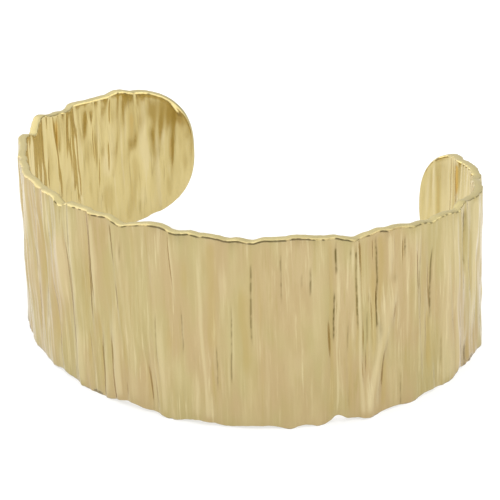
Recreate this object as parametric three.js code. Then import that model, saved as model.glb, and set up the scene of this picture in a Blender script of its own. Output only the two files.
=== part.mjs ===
// Cuff bracelet: one open oval band of thin gold-tone metal, crumpled so that soft folds run across it.
// It stands on its lower rim, front towards -Y, with the gap for the wrist at the back.
// Millimetres, +Z up, origin on the ground under the middle of the band.
import * as THREE from "three";

// Driving dimensions, mm.
const BAND_HEIGHT = 25.4; // from rim to rim at the front, one inch
const SHEET = 1.15; // thickness of the metal
const MEAN_RADIUS = 28.3; // of the outer face in plan
const LEFT_RISE = 2.2; // how far the left arm's middle climbs towards its tip
const END_ROUND = 9.4; // length of each rounded end
const RIM_ROUND = 0.3; // how far the faces stop short of the rim, which is chamfered
const RIM_FLAT = 0.6; // width left between the two chamfers

// Driving shares and angles.
const TAPER = 0.294; // share of the height that is lost at the tips
const END_POWER = 2.53; // 2 would make the ends elliptic, more makes them squarer
const LEFT_TURN = THREE.MathUtils.degToRad(-133.2); // where the band ends, turned from the front
const RIGHT_TURN = THREE.MathUtils.degToRad(146.8);
const INSIDE_SHARE = 0.8; // the folds are a little softer on the inside

// The band tapers, so when it stands on its lower rim it leans back, and a little to the left.
const LEAN_BACK = THREE.MathUtils.degToRad(4.5);
const LEAN_LEFT = THREE.MathUtils.degToRad(1.1);
const SET_DOWN = new THREE.Vector3(0.25, 0.95, -1.85); // moves the leaning band onto its origin

// Mesh density: steps along the straight stretch, along each rounded end, and from rim to rim.
const STEPS_MIDDLE = 160;
const STEPS_END = 10;
const STEPS_ACROSS = 10;

// The oval of the outer face: its radius is MEAN_RADIUS times 1 plus these waves round the wrist.
const OVAL = [
  { times: 2, cosine: -0.13, sine: 0.011 },
  { times: 3, cosine: 0.031, sine: 0 },
  { times: 4, cosine: -0.004, sine: 0 },
];

// Each fold is a soft ridge, or with a negative rise a valley, that runs from the lower rim to the upper.
// foot and head: where its line meets the lower and the upper rim, mm along the band from the front.
// low and high: the shares of the band's height between which it shows.
// half: its half width, mm. rise: its height, mm.
const FOLDS = [
  // foot, head, low, high, half, rise
  [-64.5, -64.8, 0.1, 0.95, 1.3, -0.3],
  [-60.6, -59.6, 0.0, 1.0, 1.1, 0.35],
  [-57.8, -58.2, 0.0, 1.0, 1.0, -0.35],
  [-53.4, -55.8, 0.3, 1.0, 1.1, 0.3],
  [-51.2, -51.8, 0.1, 0.8, 1.0, -0.3],
  [-49.6, -48.8, 0.2, 1.0, 0.9, 0.35],
  [-46.0, -46.3, 0.4, 1.0, 0.9, -0.35],
  [-43.8, -44.4, 0.3, 1.0, 0.9, -0.3],
  [-40.2, -40.6, 0.0, 1.0, 1.3, 0.25],
  [-35.4, -34.6, 0.0, 1.0, 1.2, 0.3],
  [-28.0, -28.0, 0.35, 1.0, 4.0, -0.35],
  [-22.2, -21.6, 0.0, 1.0, 1.2, 0.25],
  [-16.8, -16.6, 0.1, 1.0, 0.9, -0.25],
  [-15.0, -15.2, 0.0, 1.0, 0.9, 0.22],
  [-13.4, -13.6, 0.05, 0.5, 1.0, -0.27],
  [-11.4, -11.6, 0.4, 1.0, 1.4, 0.2],
  [-9.6, -10.6, 0.0, 0.85, 0.7, -0.12],
  [-8.8, -8.6, 0.0, 1.0, 1.0, 0.18],
  [-6.4, -6.6, 0.0, 1.0, 0.8, -0.15],
  [-5.4, -5.2, 0.35, 1.0, 0.7, 0.2],
  [-4.9, -4.2, 0.0, 0.55, 0.8, -0.25],
  [-2.0, -2.4, 0.0, 0.6, 0.8, 0.3],
  [3.2, -1.7, 0.0, 0.4, 0.7, -0.25],
  [4.7, 4.2, 0.0, 1.0, 0.7, 0.25],
  [6.2, 5.5, 0.0, 0.6, 1.0, 0.2],
  [7.4, 7.9, 0.2, 0.7, 0.7, -0.2],
  [10.5, 10.0, 0.0, 1.0, 0.7, 0.28],
  [12.2, 11.4, 0.1, 0.5, 0.7, -0.2],
  [13.6, 14.2, 0.2, 0.9, 0.7, 0.25],
  [16.2, 16.3, 0.1, 1.0, 0.7, -0.25],
  [21.0, 21.6, 0.0, 1.0, 2.6, 0.2],
  [26.2, 26.3, 0.0, 1.0, 0.8, -0.3],
  [27.1, 27.2, 0.0, 1.0, 0.8, 0.3],
  [29.6, 28.5, 0.0, 1.0, 0.7, 0.4],
  [31.0, 32.0, 0.35, 1.0, 0.8, -0.32],
  [30.2, 35.4, 0.0, 0.78, 0.8, 0.45],
  [33.2, 33.2, 0.7, 1.0, 0.7, 0.25],
  [37.0, 36.6, 0.3, 1.0, 0.7, 0.25],
  [38.9, 39.6, 0.05, 0.95, 0.8, -0.3],
  [43.4, 43.4, 0.0, 1.0, 1.2, 0.25],
  [46.4, 46.5, 0.5, 0.95, 0.9, -0.35],
  [51.5, 51.0, 0.0, 1.0, 1.4, 0.3],
  [56.2, 57.0, 0.2, 1.0, 1.1, -0.3],
  [60.4, 59.8, 0.0, 0.9, 1.2, 0.3],
  [64.4, 64.6, 0.3, 1.0, 1.0, -0.35],
  [68.4, 68.0, 0.0, 1.0, 1.1, 0.3],
].map(([foot, head, low, high, half, rise]) => ({ foot, head, low, high, half, rise }));

// Fine ripples all along the band. length: from crest to crest. height: half of crest to valley.
// sway: how far a crest wanders on its way up. fade: how many times its strength comes and goes on the way.
const RIPPLES = [
  { length: 7.3, height: 0.12, sway: 0.9, fade: 1, start: 0.6 },
  { length: 4.1, height: 0.1, sway: 0.6, fade: 2, start: 2.1 },
  { length: 2.7, height: 0.07, sway: 0.4, fade: 3, start: 4.4 },
];

// Bumps of the rims: where along the band, half width, and rise, up for a crest and down for a dip.
const UPPER_RIM = [
  // at, half, rise
  [-56.5, 1.5, 0.4],
  [-47.3, 1.4, -0.3],
  [-41.7, 1.4, 0.6],
  [-38.0, 1.3, -0.9],
  [-16.8, 1.2, -0.3],
  [-11.1, 1.0, -0.7],
  [-0.5, 1.3, -0.5],
  [4.2, 1.8, 0.6],
  [9.4, 1.2, 0.25],
  [13.7, 1.0, -0.3],
  [16.5, 1.0, -0.4],
  [22.2, 2.6, 0.4],
  [29.2, 1.2, -0.25],
  [33.8, 2.4, 0.3],
  [39.7, 1.0, -0.3],
  [44.4, 1.0, -0.25],
  [46.6, 1.0, 0.3],
  [58.0, 2.0, -0.4],
].map(([at, half, rise]) => ({ at, half, rise }));
const LOWER_RIM = [
  // at, half, rise
  [-48.0, 1.6, -0.4],
  [-27.0, 2.0, -0.5],
  [-13.0, 1.6, 0.4],
  [-5.9, 1.8, -0.5],
  [-0.6, 2.0, 0.5],
  [5.7, 1.2, -0.4],
  [9.4, 1.2, 0.2],
  [13.2, 1.4, -0.25],
  [20.5, 1.2, -0.45],
  [24.3, 1.2, -0.4],
  [26.6, 0.9, 0.6],
  [31.0, 1.2, -0.4],
  [36.1, 1.1, -0.4],
  [39.0, 1.4, 0.2],
  [42.2, 1.0, -0.25],
  [45.0, 0.9, 0.8],
  [48.4, 1.2, -0.35],
  [56.0, 1.8, -0.4],
].map(([at, half, rise]) => ({ at, half, rise }));

// The middle of the sheet in plan, from the left tip round the front to the right tip.
class BandPlan extends THREE.Curve {
  outerPoint(turn) {
    let share = 1;
    for (const { times, cosine, sine } of OVAL) {
      share += cosine * Math.cos(times * turn) + sine * Math.sin(times * turn);
    }
    const radius = MEAN_RADIUS * share;
    return new THREE.Vector2(radius * Math.sin(turn), -radius * Math.cos(turn));
  }

  outward(turn) {
    const tiny = 1e-4;
    const step = this.outerPoint(turn + tiny).sub(this.outerPoint(turn - tiny));
    return new THREE.Vector2(step.y, -step.x).normalize();
  }

  turnAt(share) {
    return THREE.MathUtils.lerp(LEFT_TURN, RIGHT_TURN, share);
  }

  getPoint(share) {
    const turn = this.turnAt(share);
    return this.outerPoint(turn).addScaledVector(this.outward(turn), -SHEET / 2);
  }
}

const plan = new BandPlan();
plan.arcLengthDivisions = 2800;
const lengths = plan.getLengths();
const frontStep = Math.round((plan.arcLengthDivisions * -LEFT_TURN) / (RIGHT_TURN - LEFT_TURN));
const bandLength = plan.getLength();
const leftTip = -lengths[frontStep];
const rightTip = leftTip + bandLength;
const halfLength = bandLength / 2;
const middle = (leftTip + rightTip) / 2;

// 1 at the centre of a bump, falling softly to 0 outside it.
function bump(distance, half) {
  return Math.exp(-((distance / half) ** 2));
}

// 1 between low and high, with soft ends. A limit at a rim has no end there.
function shows(share, low, high) {
  const soft = 0.22;
  const rising = low <= 0 ? 1 : THREE.MathUtils.smoothstep(share, low, low + soft);
  const falling = high >= 1 ? 1 : 1 - THREE.MathUtils.smoothstep(share, high - soft, high);
  return rising * falling;
}

// How far the sheet is pushed outwards by its folds, at a place along the band and a share of its height.
function foldHeight(along, share) {
  let push = 0;
  for (const { foot, head, low, high, half, rise } of FOLDS) {
    const line = THREE.MathUtils.lerp(foot, head, share);
    push += rise * bump(along - line, half) * shows(share, low, high);
  }
  for (const { length, height, sway, fade, start } of RIPPLES) {
    const wander = sway * Math.sin(Math.PI * share * fade + start * along);
    const strength = 0.65 + 0.35 * Math.sin(2 * Math.PI * share * fade + along / length + start);
    push += height * strength * Math.sin((2 * Math.PI * (along + wander)) / length + start);
  }
  return push;
}

function rimShift(along, bumps) {
  return bumps.reduce((sum, { at, half, rise }) => sum + rise * bump(along - at, half), 0);
}

// A point of the band. across runs from -1 at the lower rim to 1 at the upper, depth is measured outwards
// from the middle of the sheet, and inset is how far the point's outline stops short of the rim.
function bandPoint(along, across, depth, inset) {
  const taper = 1 - TAPER * ((along - middle) / halfLength) ** 2;
  const half = (BAND_HEIGHT / 2) * taper - inset;
  const centre = BAND_HEIGHT / 2 + LEFT_RISE * Math.min(along / halfLength, 0) ** 2;
  const top = centre + half + rimShift(along, UPPER_RIM);
  const bottom = centre - half + rimShift(along, LOWER_RIM);
  const share = (across + 1) / 2;
  const push = foldHeight(along, share) * (depth < 0 ? INSIDE_SHARE : 1);
  const position = THREE.MathUtils.clamp((along - leftTip) / bandLength, 0, 1);
  const turn = plan.turnAt(plan.getUtoTmapping(position));
  const flat = plan.getPointAt(position).addScaledVector(plan.outward(turn), push + depth);
  return new THREE.Vector3(flat.x, flat.y, THREE.MathUtils.lerp(bottom, top, share));
}

// A point of the grid that covers one face. The grid's outer columns bend round the ends of the band:
// a square is mapped onto the rounded end, so no edge of it shrinks to a point.
function gridPoint(column, row, depth, inset) {
  const q = (2 * row) / STEPS_ACROSS - 1;
  const fromLeft = STEPS_END - column;
  const fromRight = column - STEPS_END - STEPS_MIDDLE;
  const start = leftTip + END_ROUND;
  const stretch = bandLength - 2 * END_ROUND;
  if (fromLeft <= 0 && fromRight <= 0) {
    return bandPoint(start - (stretch * fromLeft) / STEPS_MIDDLE, q, depth, inset);
  }
  const side = fromLeft > 0 ? -1 : 1;
  const p = Math.max(fromLeft, fromRight) / STEPS_END;
  const reach = p * (1 - Math.abs(q) ** END_POWER / 2) ** (1 / END_POWER);
  const across = q * (1 - p ** END_POWER / 2) ** (1 / END_POWER);
  const edge = side < 0 ? start : start + stretch;
  return bandPoint(edge + side * reach * (END_ROUND - inset), across, depth, inset);
}

// The columns and rows of the grid's border, anticlockwise as the outer face is seen from outside.
function borderCells() {
  const columns = STEPS_MIDDLE + 2 * STEPS_END;
  const rows = STEPS_ACROSS;
  const count = (steps) => Array.from({ length: steps }, (_, step) => step);
  return [
    ...count(columns).map((step) => [step, 0]),
    ...count(rows).map((step) => [columns, step]),
    ...count(columns).map((step) => [columns - step, rows]),
    ...count(rows).map((step) => [0, rows - step]),
  ];
}

// The closed sheet: an outer face, an inner face, and a chamfered rim all round.
function bandGeometry() {
  const columns = STEPS_MIDDLE + 2 * STEPS_END;
  const positions = [];
  const indices = [];
  const addPoint = (point) => {
    positions.push(point.x, point.y, point.z);
    return positions.length / 3 - 1;
  };
  const addQuad = (a, b, c, d) => indices.push(a, b, c, a, c, d);

  const faces = [SHEET / 2, -SHEET / 2].map((depth) => {
    const grid = [];
    for (let column = 0; column <= columns; column++) {
      grid.push([]);
      for (let row = 0; row <= STEPS_ACROSS; row++) {
        grid[column].push(addPoint(gridPoint(column, row, depth, RIM_ROUND)));
      }
    }
    return grid;
  });
  const [outer, inner] = faces;
  for (let column = 0; column < columns; column++) {
    for (let row = 0; row < STEPS_ACROSS; row++) {
      const next = column + 1;
      addQuad(outer[column][row], outer[next][row], outer[next][row + 1], outer[column][row + 1]);
      addQuad(inner[column][row], inner[column][row + 1], inner[next][row + 1], inner[next][row]);
    }
  }

  const border = borderCells();
  const outerLoop = border.map(([column, row]) => outer[column][row]);
  const innerLoop = border.map(([column, row]) => inner[column][row]);
  const rimLoops = [RIM_FLAT / 2, -RIM_FLAT / 2].map((depth) =>
    border.map(([column, row]) => addPoint(gridPoint(column, row, depth, 0))),
  );
  const loops = [outerLoop, ...rimLoops, innerLoop];
  for (let strip = 0; strip + 1 < loops.length; strip++) {
    for (let i = 0; i < border.length; i++) {
      const next = (i + 1) % border.length;
      addQuad(loops[strip][i], loops[strip + 1][i], loops[strip + 1][next], loops[strip][next]);
    }
  }
  const geometry = new THREE.BufferGeometry();
  geometry.setAttribute("position", new THREE.Float32BufferAttribute(positions, 3));
  geometry.setIndex(indices);
  return geometry;
}

// Leans the band back onto its resting places, and flattens what would dip below the ground.
function standOnRim(geometry) {
  geometry.rotateX(-LEAN_BACK);
  geometry.rotateY(-LEAN_LEFT);
  geometry.translate(SET_DOWN.x, SET_DOWN.y, SET_DOWN.z);
  const position = geometry.getAttribute("position");
  for (let i = 0; i < position.count; i++) {
    position.setZ(i, Math.max(position.getZ(i), 0));
  }
  geometry.computeVertexNormals();
  return geometry;
}

const paleGold = new THREE.MeshStandardMaterial({ color: 0xdcc896, metalness: 1, roughness: 0.3 });
const cuffBand = new THREE.Mesh(standOnRim(bandGeometry()), paleGold);
cuffBand.name = "cuff_band";

const cuffBracelet = new THREE.Group();
cuffBracelet.add(cuffBand);

export default cuffBracelet;
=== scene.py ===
"""Cuff bracelet: an open oval band of polished pale gold metal, crumpled into folds that run across it.

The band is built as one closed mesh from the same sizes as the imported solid, with the fine folds added, and
it replaces that solid. Sizes are in millimetres until the mesh is made, and the mesh is in metres.

The oval, the taper, the ends and the camera are rounded from a least-squares fit to the photographed outline.
"""
import math
from collections import namedtuple

import bpy
import numpy as np
from mathutils import Matrix, Vector


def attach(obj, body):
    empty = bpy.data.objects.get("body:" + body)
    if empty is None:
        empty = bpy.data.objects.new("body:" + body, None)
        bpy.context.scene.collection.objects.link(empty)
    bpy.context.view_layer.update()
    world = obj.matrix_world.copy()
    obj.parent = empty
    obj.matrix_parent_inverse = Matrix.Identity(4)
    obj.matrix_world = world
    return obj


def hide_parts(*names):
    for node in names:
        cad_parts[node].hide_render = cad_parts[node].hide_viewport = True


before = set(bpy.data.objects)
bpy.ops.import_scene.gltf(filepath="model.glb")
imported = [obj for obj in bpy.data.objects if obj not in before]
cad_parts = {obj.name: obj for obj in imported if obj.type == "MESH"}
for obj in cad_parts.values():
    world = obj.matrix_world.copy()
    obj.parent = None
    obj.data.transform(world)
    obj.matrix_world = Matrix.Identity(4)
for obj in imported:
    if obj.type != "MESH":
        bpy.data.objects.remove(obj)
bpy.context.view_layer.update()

MM = 0.001  # metres

# ---------------------------------------------------------------- sizes of the band, mm
BAND_HEIGHT = 25.4
SHEET = 1.15
MEAN_RADIUS = 28.3
LEFT_RISE = 2.2
END_ROUND = 9.4
RIM_ROUND = 0.36
RIM_SQUARE = 0.55  # 1 is a round rim, less is a flatter one
TAPER = 0.294
END_POWER = 2.53
LEFT_TURN = math.radians(-133.2)
RIGHT_TURN = math.radians(146.8)
INSIDE_SHARE = 0.8
LEAN_BACK = math.radians(4.5)
LEAN_LEFT = math.radians(1.1)
SET_DOWN = (0.25, 0.95, -1.85)

# Mesh density: steps along the straight stretch, along each rounded end, from rim to rim, and round the rim.
STEPS_MIDDLE = 1150
STEPS_END = 48
STEPS_ACROSS = 30
STEPS_RIM = 7
PLAN_STEPS = 2800

# The oval: the outer face's radius is MEAN_RADIUS times 1 plus these waves.
Wave = namedtuple("Wave", "times cosine sine")
OVAL = [Wave(2, -0.13, 0.011), Wave(3, 0.031, 0.0), Wave(4, -0.004, 0.0)]

# ---------------------------------------------------------------- folds
# A fold's line runs from foot, on the lower rim, to head, on the upper, in mm along the band from the front.
# It shows between the shares low and high of the band's height. half is its half width and rise its height.
Fold = namedtuple("Fold", "foot head low high half rise")

# The wide folds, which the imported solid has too.
FOLDS = [Fold(*row) for row in [
    (-64.5, -64.8, 0.1, 0.95, 1.3, -0.3),
    (-60.6, -59.6, 0.0, 1.0, 1.1, 0.35),
    (-57.8, -58.2, 0.0, 1.0, 1.0, -0.35),
    (-53.4, -55.8, 0.3, 1.0, 1.1, 0.3),
    (-51.2, -51.8, 0.1, 0.8, 1.0, -0.3),
    (-49.6, -48.8, 0.2, 1.0, 0.9, 0.35),
    (-46.0, -46.3, 0.4, 1.0, 0.9, -0.35),
    (-43.8, -44.4, 0.3, 1.0, 0.9, -0.3),
    (-40.2, -40.6, 0.0, 1.0, 1.3, 0.25),
    (-35.4, -34.6, 0.0, 1.0, 1.2, 0.3),
    (-28.0, -28.0, 0.35, 1.0, 4.0, -0.35),
    (-22.2, -21.6, 0.0, 1.0, 1.2, 0.25),
    (-16.8, -16.6, 0.1, 1.0, 0.9, -0.25),
    (-15.0, -15.2, 0.0, 1.0, 0.9, 0.22),
    (-13.4, -13.6, 0.05, 0.5, 1.0, -0.27),
    (-11.4, -11.6, 0.4, 1.0, 1.4, 0.2),
    (-9.6, -10.6, 0.0, 0.85, 0.7, -0.12),
    (-8.8, -8.6, 0.0, 1.0, 1.0, 0.18),
    (-6.4, -6.6, 0.0, 1.0, 0.8, -0.15),
    (-5.4, -5.2, 0.35, 1.0, 0.7, 0.2),
    (-4.9, -4.2, 0.0, 0.55, 0.8, -0.25),
    (-2.0, -2.4, 0.0, 0.6, 0.8, 0.3),
    (3.2, -1.7, 0.0, 0.4, 0.7, -0.25),
    (4.7, 4.2, 0.0, 1.0, 0.7, 0.25),
    (6.2, 5.5, 0.0, 0.6, 1.0, 0.2),
    (7.4, 7.9, 0.2, 0.7, 0.7, -0.2),
    (10.5, 10.0, 0.0, 1.0, 0.7, 0.28),
    (12.2, 11.4, 0.1, 0.5, 0.7, -0.2),
    (13.6, 14.2, 0.2, 0.9, 0.7, 0.25),
    (16.2, 16.3, 0.1, 1.0, 0.7, -0.25),
    (21.0, 21.6, 0.0, 1.0, 2.6, 0.2),
    (26.2, 26.3, 0.0, 1.0, 0.8, -0.3),
    (27.1, 27.2, 0.0, 1.0, 0.8, 0.3),
    (29.6, 28.5, 0.0, 1.0, 0.7, 0.4),
    (31.0, 32.0, 0.35, 1.0, 0.8, -0.32),
    (30.2, 35.4, 0.0, 0.78, 0.8, 0.45),
    (33.2, 33.2, 0.7, 1.0, 0.7, 0.25),
    (37.0, 36.6, 0.3, 1.0, 0.7, 0.25),
    (38.9, 39.6, 0.05, 0.95, 0.8, -0.3),
    (43.4, 43.4, 0.0, 1.0, 1.2, 0.25),
    (46.4, 46.5, 0.5, 0.95, 0.9, -0.35),
    (51.5, 51.0, 0.0, 1.0, 1.4, 0.3),
    (56.2, 57.0, 0.2, 1.0, 1.1, -0.3),
    (60.4, 59.8, 0.0, 0.9, 1.2, 0.3),
    (64.4, 64.6, 0.3, 1.0, 1.0, -0.35),
    (68.4, 68.0, 0.0, 1.0, 1.1, 0.3),
]]

# Sharp folds: crests, or with a negative rise creases, that come to an edge.
SHARP_FOLDS = [Fold(*row) for row in [
    (-14.7, -14.3, 0.45, 0.8, 0.5, -0.1),
    (-11.4, -11.5, 0.0, 0.35, 0.35, -0.1),
    (-10.3, -10.4, 0.0, 0.38, 0.3, -0.08),
    (-9.4, -9.2, 0.0, 0.4, 0.3, -0.12),
    (-9.8, -9.1, 0.6, 0.98, 0.35, 0.06),
    (-7.4, -7.2, 0.3, 1.0, 0.4, 0.04),
    (-5.9, -5.1, 0.35, 0.97, 0.3, 0.07),
    (-3.7, -3.5, 0.05, 0.5, 0.3, 0.04),
    (-3.0, -3.0, 0.0, 0.4, 0.3, -0.1),
    (-1.1, -0.7, 0.6, 0.97, 0.35, 0.05),
    (-0.8, -0.5, 0.0, 0.45, 0.4, -0.12),
    (2.7, 2.9, 0.6, 1.0, 0.3, 0.035),
    (4.0, 4.5, 0.55, 1.0, 0.35, 0.06),
    (4.2, 4.4, 0.15, 0.65, 0.25, -0.14),
    (5.1, 5.3, 0.7, 1.0, 0.25, 0.025),
    (6.9, 6.5, 0.65, 1.0, 0.35, 0.05),
    (7.4, 7.8, 0.3, 0.68, 0.25, -0.12),
    (10.2, 10.0, 0.3, 1.0, 0.35, 0.07),
    (9.4, 9.0, 0.0, 0.2, 0.25, 0.035),
    (12.6, 12.6, 0.55, 0.9, 0.3, -0.07),
    (12.1, 12.2, 0.15, 0.42, 0.25, -0.12),
    (13.6, 14.3, 0.22, 0.7, 0.22, -0.14),
    (13.2, 14.0, 0.6, 0.95, 0.3, 0.04),
    (14.8, 15.1, 0.1, 0.5, 0.3, 0.03),
    (16.3, 16.3, 0.45, 0.95, 0.25, -0.14),
    (17.8, 18.4, 0.05, 0.9, 0.25, 0.025),
    (19.8, 20.2, 0.6, 0.97, 0.25, -0.1),
    (23.6, 23.3, 0.65, 0.88, 0.25, -0.12),
    (23.4, 23.4, 0.0, 0.35, 0.3, 0.05),
    (26.2, 26.5, 0.3, 1.0, 0.22, -0.2),
    (27.2, 27.9, 0.05, 0.9, 0.25, 0.03),
    (28.0, 28.0, 0.0, 0.55, 0.25, -0.08),
    (28.6, 28.9, 0.5, 1.0, 0.25, -0.2),
    (29.5, 28.5, 0.0, 1.0, 0.3, 0.05),
    (29.9, 29.7, 0.35, 1.0, 0.25, -0.1),
    (30.3, 30.1, 0.6, 1.0, 0.25, 0.04),
    (29.9, 30.6, 0.15, 0.6, 0.25, -0.12),
    (31.4, 31.9, 0.35, 0.8, 0.22, -0.22),
    (31.9, 31.1, 0.75, 1.0, 0.3, -0.2),
    (32.2, 32.6, 0.0, 0.36, 0.35, -0.14),
    (34.2, 34.6, 0.7, 1.0, 0.3, 0.05),
    (36.5, 32.8, 0.3, 0.6, 0.3, -0.1),
    (35.4, 35.5, 0.8, 1.0, 0.25, -0.22),
    (34.7, 34.8, 0.0, 0.3, 0.3, -0.06),
    (37.6, 38.0, 0.45, 0.95, 0.25, -0.1),
    (39.5, 39.8, 0.35, 0.9, 0.25, -0.2),
    (41.2, 41.0, 0.0, 0.5, 0.3, -0.1),
    (46.1, 46.3, 0.55, 0.9, 0.3, -0.25),
    (43.2, 43.0, 0.3, 1.0, 0.4, 0.03),
]]

SHARPNESS = 0.85  # how much of their rise the sharp folds have
FOLD_SOFT = 0.22  # how softly the wide folds end, as a share of the band's height
FOLD_PAINTED_LIGHT_MOST = 0.4  # the most that a wide fold changes the painted light, pale on crests, deep in hollows

# Ripples all along the band: length from crest to crest, height, how far a crest wanders, how often it fades.
Ripple = namedtuple("Ripple", "length height sway fade start")
RIPPLES = [
    Ripple(7.3, 0.12, 0.9, 1, 0.6),
    Ripple(4.1, 0.1, 0.6, 2, 2.1),
    Ripple(2.7, 0.07, 0.4, 3, 4.4),
]

# Charted lines stray sideways: how far, mm, how long a wave is across the band, and how it changes along it.
Stray = namedtuple("Stray", "reach length turn start")
STRAYS = [Stray(0.05, 13.7, 0.8, 0.4), Stray(0.015, 4.7, 1.9, 1.7)]
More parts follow.
